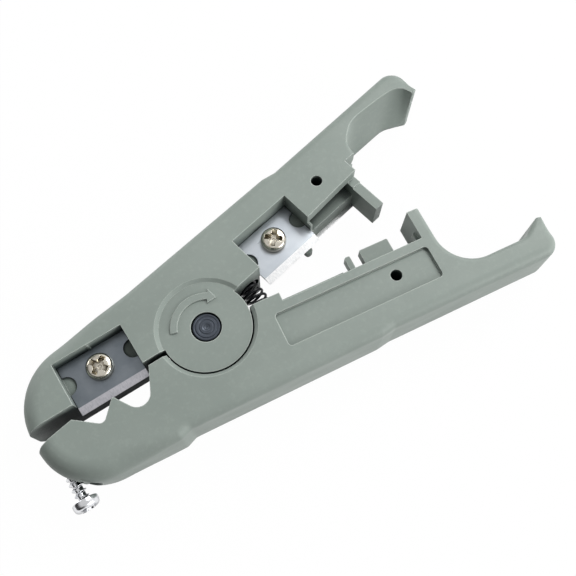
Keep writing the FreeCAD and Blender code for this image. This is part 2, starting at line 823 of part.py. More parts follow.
# Pan-head screw whose head rests on the origin, with a cross recess in its top
def make_screw(name, head_radius, head_height, radius, length, spot):
    body = doc.addObject("PartDesign::Body", name)
    profile = body_sketch(body, name + "_profile", "XZ_Plane")
    corners = [
        (as_size(0), -length),
        (radius - get("screw_tip_bevel"), -length),
        (radius, -length + get("screw_tip_bevel")),
        (radius, as_size(0)),
        (head_radius, as_size(0), get("screw_base_round")),
        (head_radius, head_height, get("screw_crown_round")),
        (as_size(0), head_height),
    ]
    draw_outline(profile, corners)
    turn = body.newObject("PartDesign::Revolution", name + "_turned")
    turn.Profile = profile
    turn.ReferenceAxis = (profile, ["V_Axis"])
    turn.Angle = 360
    half_span = get("recess_span") / 2
    half_width = get("recess_width") / 2
    arm = [(half_span, -half_width), (half_span, half_width), (half_width, half_width)]
    cross = []
    for quarter in range(4):
        cross += arm
        arm = [(-y, x) for x, y in arm]
    recess_sketch = body_sketch(body, name + "_cross", "XY_Plane")
    draw_outline(recess_sketch, cross)
    bind(recess_sketch, "AttachmentOffset.Base.z", head_height)
    recess = body.newObject("PartDesign::Pocket", name + "_recess")
    recess.Profile = recess_sketch
    bind(recess, "TaperAngle", -get("recess_taper"))
    bind(recess, "Length", get("recess_depth"))
    spot(body)
    return body


def blade_screw(name, spot):
    return make_screw(name, get("screw_head_radius"), get("screw_head_height"), get("screw_radius"),
                      get("screw_length"), spot)


# Pivot pin: one headed rivet, with turned grooves in the head that shows
def make_pin():
    body = doc.addObject("PartDesign::Body", "pivot_pin")
    profile = body_sketch(body, "pin_profile", "XZ_Plane")
    head = get("pin_head_radius")
    low = get("disc_recess") + get("pin_head_sink")
    high = thickness - low
    height = get("pin_head_height")
    groove = get("pin_groove")
    corners = [
        (as_size(0), low),
        (head, low, groove),
        (head, low + height),
        (get("pin_radius"), low + height),
        (get("pin_radius"), high - height),
        (head, high - height),
        (head, high, groove),
        (get("outer_groove_rim"), high),
        (get("outer_groove_floor"), high - groove),
        (get("inner_groove_floor"), high - groove),
        (get("inner_groove_rim"), high),
        (get("centre_dish_rim"), high),
        (get("centre_dish_floor"), high - groove),
        (as_size(0), high - groove),
    ]
    draw_outline(profile, corners)
    turn = body.newObject("PartDesign::Revolution", "pin_turned")
    turn.Profile = profile
    turn.ReferenceAxis = (profile, ["V_Axis"])
    turn.Angle = 360
    return body


# Return spring: a coil whose axis is an arc, square to each arm at the bottom of its pocket
def make_spring():
    sweep = math.radians(open_angle.number)
    reach = get("spring_reach").number
    seat = get("spring_seat").number - get("spring_seat_gap").number
    wire = get("spring_wire").number
    coil = get("spring_radius").number - wire
    turns = get("spring_turns").number
    level = thickness.number / 2
    start = FreeCAD.Vector(reach, -seat, level)
    end = FreeCAD.Vector(reach * math.cos(sweep) - seat * math.sin(sweep),
                         reach * math.sin(sweep) + seat * math.cos(sweep), level)
    chord = start.distanceToPoint(end)
    bend = chord / 2 / math.sin(sweep / 2)
    centre = FreeCAD.Vector(reach - bend, -seat, level)
    steps_per_turn = 12
    steps = int(turns * steps_per_turn)
    margin = wire / (bend * sweep)
    points = []
    for step in range(steps + 1):
        share = margin + (1 - 2 * margin) * step / steps
        bow = sweep * share
        phase = 2 * math.pi * turns * step / steps
        outward = FreeCAD.Vector(math.cos(bow), math.sin(bow), 0)
        upward = FreeCAD.Vector(0, 0, 1)
        spoke = outward * math.cos(phase) + upward * math.sin(phase)
        points.append(centre + outward * bend + spoke * coil)
    path = Part.BSplineCurve()
    path.interpolate(points)
    tangent = path.tangent(path.FirstParameter)[0]
    ring = Part.Wire(Part.Circle(points[0], tangent, wire).toShape())
    shape = Part.Wire(path.toShape()).makePipeShell([ring], True, True)
    spring = doc.addObject("Part::Feature", "return_spring")
    spring.Shape = shape
    return spring


# Sets a piece on the upper arm, which stands open
def on_upper(x, y, z, angle=0, axis=(0, 0, 1), tip=0):
    spot_x, spot_y = turned(as_size(x), as_size(y), open_angle)
    return lambda item: place(item, spot_x, spot_y, z, open_angle + angle, axis, tip)


# Sets a piece on the lower arm
def on_lower(x, y, z, angle=0, axis=(0, 0, 1), tip=0):
    return lambda item: place(item, x, y, z, angle, axis, tip)


strip_spot = turned(-get("strip_screw_reach"), get("strip_screw_rise"), -upper_tilt)
strip_face = get("strip_seat") + get("blade_thick")
cut_spot = (get("cut_screw_reach"), get("cut_screw_rise"))
cut_face = get("cut_seat") + get("blade_thick")
upper_flat = (get("upper_flat_reach"), get("upper_flat_rise"))
lower_flat = (get("lower_flat_reach"), -get("lower_flat_drop"))
flat_face = get("flat_seat") - get("blade_thick")
half_turn = 180
about_x = (1, 0, 0)
about_y = (0, 1, 0)

spots = {
    "strip_blade": on_upper(*strip_spot, get("strip_seat"), -upper_tilt),
    "strip_blade_screw": on_upper(*strip_spot, strip_face, get("strip_screw_turn")),
    "cut_blade": on_upper(*cut_spot, get("cut_seat")),
    "cut_blade_screw": on_upper(*cut_spot, cut_face, get("cut_screw_turn")),
    "upper_flat_blade": on_upper(*upper_flat, get("flat_seat"), 0, about_y, half_turn),
    "upper_flat_screw": on_upper(*upper_flat, flat_face, 0, about_y, half_turn),
    "lower_flat_blade": on_lower(*lower_flat, get("flat_seat"), 0, about_x, half_turn),
    "lower_flat_screw": on_lower(*lower_flat, flat_face, 0, about_x, half_turn),
}

nodes = {
    "lower_arm": make_lower_arm(),
    "upper_arm": make_upper_arm(),
    "pivot_pin": make_pin(),
    "return_spring": make_spring(),
}
for node, spot in spots.items():
    nodes[node] = make_blade(node, spot) if node.endswith("blade") else blade_screw(node, spot)

# Depth screw: turned from below the nose, it stands backed out, so that its tip is clear of the upper jaw
depth_top = get("upper_jaw_rise") - get("depth_tip_gap")
depth_spot = turned(-depth_screw_reach, depth_top - get("depth_screw_length"), lower_tilt)
nodes["depth_screw"] = make_screw(
    "depth_screw", get("depth_screw_head"), get("depth_screw_head_height"), get("depth_screw_radius"),
    get("depth_screw_length"), on_lower(*depth_spot, thickness / 2, lower_tilt, about_x, half_turn / 2))

doc.recompute()

for item in doc.Objects:
    if "Invalid" in item.State or "Error" in item.State:
        raise RuntimeError("%s did not rebuild" % item.Name)
os.makedirs("parts", exist_ok=True)
for node, item in nodes.items():
    item.Label = node
    if item.Shape.isNull() or not item.Shape.isValid():
        raise RuntimeError("%s has no valid shape" % node)
    print(node, len(item.Shape.Solids), "solid", round(item.Shape.Volume, 1))
for node, item in nodes.items():
    item.Shape.exportStep("parts/%s.step" % node)
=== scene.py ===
import bmesh
import bpy
import math
from mathutils import Matrix, Vector


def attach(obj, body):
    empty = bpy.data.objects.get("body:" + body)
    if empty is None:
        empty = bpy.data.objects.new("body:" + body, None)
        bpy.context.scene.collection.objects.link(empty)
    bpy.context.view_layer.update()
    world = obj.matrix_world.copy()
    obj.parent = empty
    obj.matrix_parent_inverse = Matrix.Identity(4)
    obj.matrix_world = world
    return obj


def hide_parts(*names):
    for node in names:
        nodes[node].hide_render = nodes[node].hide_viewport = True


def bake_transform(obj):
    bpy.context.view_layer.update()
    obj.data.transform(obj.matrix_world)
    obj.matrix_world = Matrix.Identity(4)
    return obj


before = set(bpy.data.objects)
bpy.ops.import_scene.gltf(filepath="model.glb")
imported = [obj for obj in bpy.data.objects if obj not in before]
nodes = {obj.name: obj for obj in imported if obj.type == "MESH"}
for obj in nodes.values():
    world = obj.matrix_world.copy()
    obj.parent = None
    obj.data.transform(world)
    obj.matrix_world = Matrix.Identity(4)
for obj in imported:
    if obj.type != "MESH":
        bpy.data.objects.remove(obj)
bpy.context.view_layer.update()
mm = 0.001
print("frame loaded:", len(nodes), "CAD nodes")


# short ways to write node trees
def wire(tree, socket, value):
    if isinstance(value, bpy.types.NodeSocket):
        tree.links.new(value, socket)
    else:
        socket.default_value = value


def calc(tree, operation, *terms):
    node = tree.nodes.new("ShaderNodeMath")
    node.operation = operation
    for i, term in enumerate(terms):
        wire(tree, node.inputs[i], term)
    return node.outputs[0]


def ease(tree, value, low, high, start=0.0, end=1.0):
    node = tree.nodes.new("ShaderNodeMapRange")
    node.interpolation_type = "SMOOTHSTEP"
    for name, item in (("Value", value), ("From Min", low), ("From Max", high), ("To Min", start), ("To Max", end)):
        wire(tree, node.inputs[name], item)
    return node.outputs[0]


def drawCurve(tree, value, points, straight=False):
    node = tree.nodes.new("ShaderNodeFloatCurve")
    track = node.mapping.curves[0]
    track.points[0].location = points[0]
    track.points[1].location = points[-1]
    for point in points[1:-1]:
        track.points.new(*point)
    for point in track.points:
        point.handle_type = "VECTOR" if straight else "AUTO_CLAMPED"
    node.mapping.update()
    wire(tree, node.inputs["Value"], value)
    return node.outputs[0]


def times(tree, first, *more):
    for term in more:
        first = calc(tree, "MULTIPLY", first, term)
    return first


def join3(tree, x, y, z):
    node = tree.nodes.new("ShaderNodeCombineXYZ")
    for i, term in enumerate((x, y, z)):
        wire(tree, node.inputs[i], term)
    return node.outputs[0]


def split3(tree, vector):
    node = tree.nodes.new("ShaderNodeSeparateXYZ")
    tree.links.new(vector, node.inputs[0])
    return node.outputs


def newObject(name, data):
    piece = bpy.data.objects.new(name, data)
    bpy.context.scene.collection.objects.link(piece)
    return piece


# finishes: each reads its own dictionary
def newMaterial(name):
    material = bpy.data.materials.new(name)
    material.use_nodes = True
    tree = material.node_tree
    return material, tree, tree.nodes["Principled BSDF"]


def objectPlace(tree, scale=(1, 1, 1), turn=0.0, centre=(0, 0, 0)):
    place = tree.nodes.new("ShaderNodeTexCoord").outputs["Object"]
    steps = [("Location", tuple(-c for c in centre), (0, 0, 0)), ("Rotation", (0, 0, -math.radians(turn)), (0, 0, 0)),
             ("Scale", tuple(scale), (1, 1, 1))]
    for label, value, idle in steps:
        if value != idle:
            node = tree.nodes.new("ShaderNodeMapping")
            node.inputs[label].default_value = value
            tree.links.new(place, node.inputs["Vector"])
            place = node.outputs[0]
    return place


def noise(tree, place, scale, detail=2.0, roughness=0.5):
    node = tree.nodes.new("ShaderNodeTexNoise")
    tree.links.new(place, node.inputs["Vector"])
    node.inputs["Scale"].default_value = scale
    node.inputs["Detail"].default_value = detail
    node.inputs["Roughness"].default_value = roughness
    return node.outputs["Fac"]


def mixColor(tree, factor, first, second, blend="MIX"):
    node = tree.nodes.new("ShaderNodeMix")
    node.data_type = "RGBA"
    node.blend_type = blend
    wire(tree, node.inputs[0], factor)
    for socket, value in ((node.inputs[6], first), (node.inputs[7], second)):
        wire(tree, socket, value if isinstance(value, bpy.types.NodeSocket) else (*value, 1))
    return node.outputs[2]


def mixFloat(tree, factor, first, second):
    node = tree.nodes.new("ShaderNodeMix")
    for i, value in enumerate((factor, first, second)):
        wire(tree, node.inputs[(0, 2, 3)[i]], value)
    return node.outputs[0]


def softEdge(tree, radius):
    node = tree.nodes.new("ShaderNodeBevel")
    node.samples = 6
    node.inputs["Radius"].default_value = radius
    return node.outputs[0]


def openness(tree, reach):  # 1 on open faces, near 0 deep in a gap
    node = tree.nodes.new("ShaderNodeAmbientOcclusion")
    node.samples = 8
    node.inputs["Distance"].default_value = reach
    return node.outputs["AO"]


def edgeMask(tree, radius, low, high):  # 1 on the edges, 0 on the flats
    true = tree.nodes.new("ShaderNodeNewGeometry").outputs["Normal"]
    dot = tree.nodes.new("ShaderNodeVectorMath")
    dot.operation = "DOT_PRODUCT"
    tree.links.new(softEdge(tree, radius), dot.inputs[0])
    tree.links.new(true, dot.inputs[1])
    return ease(tree, dot.outputs["Value"], high, low)


def bump(tree, height, strength, distance, normal=None):
    node = tree.nodes.new("ShaderNodeBump")
    node.inputs["Strength"].default_value = strength
    node.inputs["Distance"].default_value = distance
    tree.links.new(height, node.inputs["Height"])
    if normal is not None:
        tree.links.new(normal, node.inputs["Normal"])
    return node.outputs[0]


plastic = {
    "color": (0.262, 0.303, 0.277),
    "paler": (0.292, 0.334, 0.306),
    # colour of the specks, and of the painted highlight along the edges
    "edge": (0.70, 0.76, 0.71),
    # colour of the painted shade in corners, gaps and on the jaw wall
    "paintedShade": (0.022, 0.032, 0.032),
    "roughness": 0.44,
    "gloss": 0.22,
    "grain": 3800.0,
    "grainDepth": 0.010 * mm,
    "edgeRadius": 0.26 * mm,
    "edgeHighlightShare": 0.72,
    "cloudScale": 38.0,
    "speckScale": 900.0,
    "speckShare": 0.06,
    "flowScale": 240.0,
    "flowDepth": 0.02 * mm,
    "cavityReach": 9.0 * mm,
    # openness, then the share of painted shade in corners and gaps: darker than light alone makes it
    "cavityShade": [(0, 0.97), (0.12, 0.94), (0.24, 0.80), (0.36, 0.52), (0.46, 0.20), (0.56, 0.05), (0.7, 0),
                    (1, 0)],
    "gapFacing": (-0.55, -0.9),
    "gapAlong": (-43 * mm, -35 * mm),
    "gapShade": (0.25, 0.93),  # at the two ends of gapAlong
    "gapEnd": (-8 * mm, -11 * mm),
    "gapAcross": (-13.5 * mm, -12.5 * mm),
    "gapTop": (14.6 * mm, 12.0 * mm),
}


# shade painted by place on the upper jaw's wall over the lower jaw: it stays dark when the jaws open
def gapWall(tree, use):
    source = tree.nodes.new("ShaderNodeTexCoord")
    spot = split3(tree, source.outputs["Object"])
    side = split3(tree, source.outputs["Normal"])
    return times(tree, ease(tree, side["Y"], *use["gapFacing"]),
                 ease(tree, spot["X"], *use["gapAlong"], *use["gapShade"]), ease(tree, spot["X"], *use["gapEnd"]),
                 ease(tree, spot["Y"], *use["gapAcross"]), ease(tree, spot["Z"], *use["gapTop"]))


def plasticMaterial(use):
    material, tree, shader = newMaterial("moulded_plastic")
    place = objectPlace(tree)
    cloud = noise(tree, place, use["cloudScale"], 3.0, 0.55)
    speck = noise(tree, place, use["speckScale"], 2.0, 0.6)
    flow = noise(tree, objectPlace(tree, scale=(0.35, 1, 1)), use["flowScale"])
    tone = mixColor(tree, ease(tree, cloud, 0.3, 0.7), use["color"], use["paler"])
    tone = mixColor(tree, ease(tree, speck, 0.45, 0.85, 0.0, use["speckShare"]), tone, use["edge"])
    # painted highlight along the edges, found from the bevel normal
    rim = edgeMask(tree, use["edgeRadius"] * 1.5, 0.86, 0.985)
    tone = mixColor(tree, times(tree, rim, use["edgeHighlightShare"]), tone, use["edge"])
    # painted shade: corners, gaps and the jaw wall darkened in the colour, and their gloss taken away
    shade = drawCurve(tree, openness(tree, use["cavityReach"]), use["cavityShade"])
    shade = calc(tree, "MAXIMUM", shade, gapWall(tree, use))
    tone = mixColor(tree, shade, tone, use["paintedShade"])
    tree.links.new(mixFloat(tree, shade, use["gloss"], 0.0), shader.inputs["Specular IOR Level"])
    tree.links.new(tone, shader.inputs["Base Color"])
    tree.links.new(ease(tree, flow, 0.25, 0.75, use["roughness"] - 0.06, use["roughness"] + 0.07),
                   shader.inputs["Roughness"])
    grain = noise(tree, place, use["grain"], 2.0, 0.6)
    relief = bump(tree, flow, 0.25, use["flowDepth"], softEdge(tree, use["edgeRadius"]))
    tree.links.new(bump(tree, grain, 0.55, use["grainDepth"], relief), shader.inputs["Normal"])
    shader.inputs["IOR"].default_value = 1.46
    return material


pin = {"color": (0.036, 0.043, 0.055), "worn": (0.085, 0.10, 0.125), "roughness": 0.36, "ringScale": 4200.0,
       "ringDepth": 0.02 * mm, "cloudScale": 420.0}


def pinMaterial(use):
    material, tree, shader = newMaterial("dark_steel")
    place = objectPlace(tree)
    flat = tree.nodes.new("ShaderNodeVectorMath")
    flat.operation = "MULTIPLY"
    flat.inputs[1].default_value = (1, 1, 0)
    tree.links.new(place, flat.inputs[0])
    length = tree.nodes.new("ShaderNodeVectorMath")
    length.operation = "LENGTH"
    tree.links.new(flat.outputs[0], length.inputs[0])
    out = times(tree, length.outputs["Value"], use["ringScale"])
    rings = noise(tree, join3(tree, out, 0.0, 0.0), 1.0, 2.0, 0.6)
    cloud = noise(tree, place, use["cloudScale"], 3.0)
    tone = mixColor(tree, ease(tree, rings, 0.3, 0.75), use["color"], use["worn"])
    tone = mixColor(tree, ease(tree, cloud, 0.4, 0.8, 0.0, 0.35), tone, use["worn"])
    tree.links.new(tone, shader.inputs["Base Color"])
    tree.links.new(ease(tree, rings, 0.2, 0.8, use["roughness"] - 0.08, use["roughness"] + 0.12),
                   shader.inputs["Roughness"])
    tree.links.new(bump(tree, rings, 0.5, use["ringDepth"], softEdge(tree, 0.08 * mm)), shader.inputs["Normal"])
    shader.inputs["Metallic"].default_value = 0.55
    return material


springSteel = {"color": (0.006, 0.007, 0.009), "worn": (0.03, 0.032, 0.036), "roughness": 0.32, "cloudScale": 1500.0}


def springMaterial(use):
    material, tree, shader = newMaterial("black_spring_steel")
    cloud = noise(tree, objectPlace(tree), use["cloudScale"], 3.0)
    tone = mixColor(tree, ease(tree, cloud, 0.45, 0.8), use["color"], use["worn"])
    tree.links.new(tone, shader.inputs["Base Color"])
    tree.links.new(ease(tree, cloud, 0.2, 0.8, use["roughness"] - 0.06, use["roughness"] + 0.14),
                   shader.inputs["Roughness"])
    tree.links.new(bump(tree, cloud, 0.2, 0.01 * mm), shader.inputs["Normal"])
    shader.inputs["Metallic"].default_value = 0.4
    return material


# bevel: the ground bevel's tone, lighter than the face as painted reflection, and the painted highlight along the
# edges
darkBlade = {
    "name": "blackened_blade_steel",
    "color": (0.175, 0.200, 0.225),
    "paler": (0.235, 0.260, 0.285),
    "bevel": (0.62, 0.61, 0.65),
    "roughness": 0.36,
    "bevelWidth": 1.8 * mm,
}
paleBlade = {
    "name": "blade_steel",
    "color": (0.40, 0.43, 0.465),
    "paler": (0.46, 0.49, 0.52),
    "bevel": (0.96, 0.96, 0.96),
    "roughness": 0.33,
    "bevelWidth": 1.8 * mm,
}


grind = {"edgeAt": 7.45 * mm, "edgeBlur": 0.03 * mm, "acrossScale": 5200.0, "alongScale": 3600.0, "cloudScale": 190.0,
         "lineDepth": 0.006 * mm, "rimRadius": 0.10 * mm}


def bladeMaterial(use, name, centre, turn, edgeSide):
    material, tree, shader = newMaterial(name)
    place = objectPlace(tree, turn=turn, centre=centre)
    across = times(tree, split3(tree, place)["Y"], float(edgeSide))
    bevelAt = grind["edgeAt"] - use["bevelWidth"]
    onBevel = ease(tree, across, bevelAt - grind["edgeBlur"], bevelAt + grind["edgeBlur"])
    acrossPlace = objectPlace(tree, scale=(1, 0.04, 1), turn=turn, centre=centre)
    alongPlace = objectPlace(tree, scale=(0.06, 1, 1), turn=turn, centre=centre)
    acrossLines = noise(tree, acrossPlace, grind["acrossScale"], 3.0, 0.6)
    alongLines = noise(tree, alongPlace, grind["alongScale"], 3.0, 0.6)
    cloud = noise(tree, objectPlace(tree), grind["cloudScale"], 3.0, 0.55)
    face = mixColor(tree, ease(tree, cloud, 0.3, 0.75), use["color"], use["paler"])
    face = mixColor(tree, ease(tree, alongLines, 0.45, 0.8, 0.0, 0.25), face, use["paler"])
    # the ground bevel with its grind lines, coloured lighter as painted reflection
    ground = mixColor(tree, ease(tree, acrossLines, 0.35, 0.7, 0.0, 0.35), use["bevel"], use["paler"])
    tone = mixColor(tree, onBevel, face, ground)
    # painted highlight along the blade's edges
    rim = edgeMask(tree, grind["rimRadius"], 0.85, 0.99)
    tone = mixColor(tree, times(tree, rim, 0.6), tone, use["bevel"])
    tree.links.new(tone, shader.inputs["Base Color"])
    tree.links.new(ease(tree, alongLines, 0.2, 0.8, use["roughness"] - 0.06, use["roughness"] + 0.10),
                   shader.inputs["Roughness"])
    lines = mixColor(tree, onBevel, alongLines, acrossLines)
    relief = bump(tree, lines, 0.25, grind["lineDepth"], softEdge(tree, grind["rimRadius"] / 2))
    tree.links.new(relief, shader.inputs["Normal"])
    shader.inputs["Metallic"].default_value = 1.0
    return material


# inside: colour of the painted shade in the cross recess and at glancing views
nickel = {"name": "nickel_screw", "color": (0.74, 0.70, 0.61), "worn": (0.50, 0.45, 0.36),
          "paintedShadeTone": (0.12, 0.10, 0.065), "roughness": 0.14}
zinc = {"name": "zinc_screw", "color": (0.82, 0.83, 0.85), "worn": (0.58, 0.59, 0.62),
        "paintedShadeTone": (0.16, 0.16, 0.17), "roughness": 0.13}


plating = {"cloudScale": 1300.0, "fineScale": 6500.0, "recessReach": 1.1 * mm, "recessDark": 0.95, "glanceDark": 0.8,
           "edgeRadius": 0.09 * mm}


def screwMaterial(use):
    material, tree, shader = newMaterial(use["name"])
    place = objectPlace(tree)
    cloud = noise(tree, place, plating["cloudScale"], 4.0, 0.6)
    fine = noise(tree, place, plating["fineScale"], 2.0, 0.6)
    tone = mixColor(tree, ease(tree, cloud, 0.45, 0.85), use["color"], use["worn"])
    # painted shade: darker in the cross recess, and darker where the surface is seen at a glance
    recess = ease(tree, openness(tree, plating["recessReach"]), 0.30, 0.86, plating["recessDark"], 0.0)
    tone = mixColor(tree, recess, tone, use["paintedShadeTone"])
    glance = tree.nodes.new("ShaderNodeLayerWeight").outputs["Facing"]
    tone = mixColor(tree, ease(tree, glance, 0.45, 0.95, 0.0, plating["glanceDark"]), tone, use["paintedShadeTone"])
    tree.links.new(tone, shader.inputs["Base Color"])
    tree.links.new(ease(tree, cloud, 0.2, 0.8, use["roughness"] - 0.04, use["roughness"] + 0.14),
                   shader.inputs["Roughness"])
    relief = bump(tree, cloud, 0.18, 0.03 * mm, softEdge(tree, plating["edgeRadius"]))
    tree.links.new(bump(tree, fine, 0.12, 0.006 * mm, relief), shader.inputs["Normal"])
    shader.inputs["Metallic"].default_value = 1.0
    return material


materials = {
    "plastic": plasticMaterial(plastic),
    "pin": pinMaterial(pin),
    "spring": springMaterial(springSteel),
    "nickel": screwMaterial(nickel),
    "zinc": screwMaterial(zinc),
}

bladeSpots = {  # screw point in mm, turn in degrees and the side the edge is on
    "strip_blade": (darkBlade, (-24.920, 2.504, 0), 7.3, -1),
    "cut_blade": (paleBlade, (23.417, 14.462, 0), 19.0, -1),
    "upper_flat_blade": (paleBlade, (38.568, 22.217, 0), 19.0, -1),
    "lower_flat_blade": (paleBlade, (44.450, -7.350, 0), 0.0, 1),
}


def paint(name, material):
    mesh = nodes[name].data
    mesh.materials.clear()
    mesh.materials.append(material)


for name, (use, centre, turn, side) in bladeSpots.items():
    paint(name, bladeMaterial(use, name + "_steel", tuple(c * mm for c in centre), turn, side))
paint("lower_arm", materials["plastic"])
print("materials ready:", len(bpy.data.materials))


# a Geometry Nodes tree with named inputs, baked to one plain mesh
def newTree(name, inputs):
    tree = bpy.data.node_groups.new(name, "GeometryNodeTree")
    tree.interface.new_socket("Geometry", in_out="OUTPUT", socket_type="NodeSocketGeometry")
    kinds = {float: "NodeSocketFloat", int: "NodeSocketInt", tuple: "NodeSocketVector"}
    for label, value in inputs.items():
        socket = tree.interface.new_socket(label, in_out="INPUT", socket_type=kinds[type(value)])
        socket.default_value = value
    tree.interface.new_socket("Finish", in_out="INPUT", socket_type="NodeSocketMaterial")
    return tree, tree.nodes.new("NodeGroupInput").outputs


def endTree(tree, given, geometry):
    realize = tree.nodes.new("GeometryNodeRealizeInstances")
    finish = tree.nodes.new("GeometryNodeSetMaterial")
    out = tree.nodes.new("NodeGroupOutput")
    tree.links.new(geometry, realize.inputs[0])
    tree.links.new(realize.outputs[0], finish.inputs[0])
    tree.links.new(given["Finish"], finish.inputs["Material"])
    tree.links.new(finish.outputs[0], out.inputs[0])


def bake(name, tree, values, material):
    holder = newObject(name + "_holder", bpy.data.meshes.new(name + "_holder"))
    modifier = holder.modifiers.new("build", "NODES")
    modifier.node_group = tree
    labels = {item.name: item.identifier for item in tree.interface.items_tree if item.in_out == "INPUT"}
    for label, value in values.items():
        modifier[labels[label]] = value
    modifier[labels["Finish"]] = material
    bpy.context.view_layer.update()
    evaluated = holder.evaluated_get(bpy.context.evaluated_depsgraph_get())
    mesh = bpy.data.meshes.new_from_object(evaluated)
    mesh.name = name
    holder.modifiers.remove(modifier)
    bpy.data.objects.remove(holder)
    if not mesh.materials:
        mesh.materials.append(material)
    return newObject(name, mesh)


def lathe(tree, around, along, radiusAt, heightAt):  # a grid rolled up about Z
    grid = tree.nodes.new("GeometryNodeMeshGrid")
    for label, value in (("Size X", 1.0), ("Size Y", 1.0), ("Vertices X", around), ("Vertices Y", along)):
        wire(tree, grid.inputs[label], value)
    place = split3(tree, tree.nodes.new("GeometryNodeInputPosition").outputs[0])
    turnShare = calc(tree, "ADD", place["X"], 0.5)
    share = calc(tree, "ADD", place["Y"], 0.5)
    angle = times(tree, turnShare, 2 * math.pi)
    radius = radiusAt(turnShare, share)
    move = tree.nodes.new("GeometryNodeSetPosition")
    tree.links.new(grid.outputs["Mesh"], move.inputs["Geometry"])
    spot = join3(tree, times(tree, radius, calc(tree, "COSINE", angle)),
                 times(tree, radius, calc(tree, "SINE", angle)), heightAt(share))
    tree.links.new(spot, move.inputs["Position"])
    merge = tree.nodes.new("GeometryNodeMergeByDistance")
    tree.links.new(move.outputs[0], merge.inputs["Geometry"])
    merge.inputs["Distance"].default_value = 0.0005 * mm
    smooth = tree.nodes.new("GeometryNodeSetShadeSmooth")
    tree.links.new(merge.outputs[0], smooth.inputs[0])
    return smooth.outputs[0]


# cross-recess screws, all from one tree
screwInputs = {
    "Head Radius": 3.1 * mm, "Head Height": 2.1 * mm, "Thread Radius": 1.35 * mm, "Core Radius": 1.08 * mm,
    "Length": 6.0 * mm, "Pitch": 0.5 * mm, "Recess Reach": 2.35 * mm, "Recess Width": 1.32 * mm,
    "Recess Depth": 1.5 * mm, "Rings": 160, "Place": (0.0, 0.0, 0.0), "Turn": (0.0, 0.0, 0.0), "Spin": 0.0,
}
screwShape = {  # share along the line, then share of the full size
    "headOut": [(0, 0), (0.12, 0.90), (0.20, 0.985), (0.32, 1.0), (0.45, 0.985), (0.60, 0.90), (0.75, 0.70),
                (0.88, 0.38), (1, 0)],
    "headUp": [(0, 0), (0.12, 0.0), (0.20, 0.05), (0.32, 0.22), (0.45, 0.48), (0.60, 0.76), (0.75, 0.92),
               (0.88, 0.985), (1, 1.0)],
    "crest": [(0, 0), (0.27, 0.02), (0.46, 1), (0.54, 1), (0.73, 0.02), (1, 0)],
    "ends": [(0, 0), (0.01, 0.55), (0.07, 1), (0.996, 1), (1, 0)],
    "headAround": 73, "headRings": 41, "shankAround": 49,
    "wingTaper": 0.42, "sideTaper": 0.22, "pitTop": 1.35, "pitFoot": 0.3, "pitDepth": 1.6, "pitSink": 1.1,
}


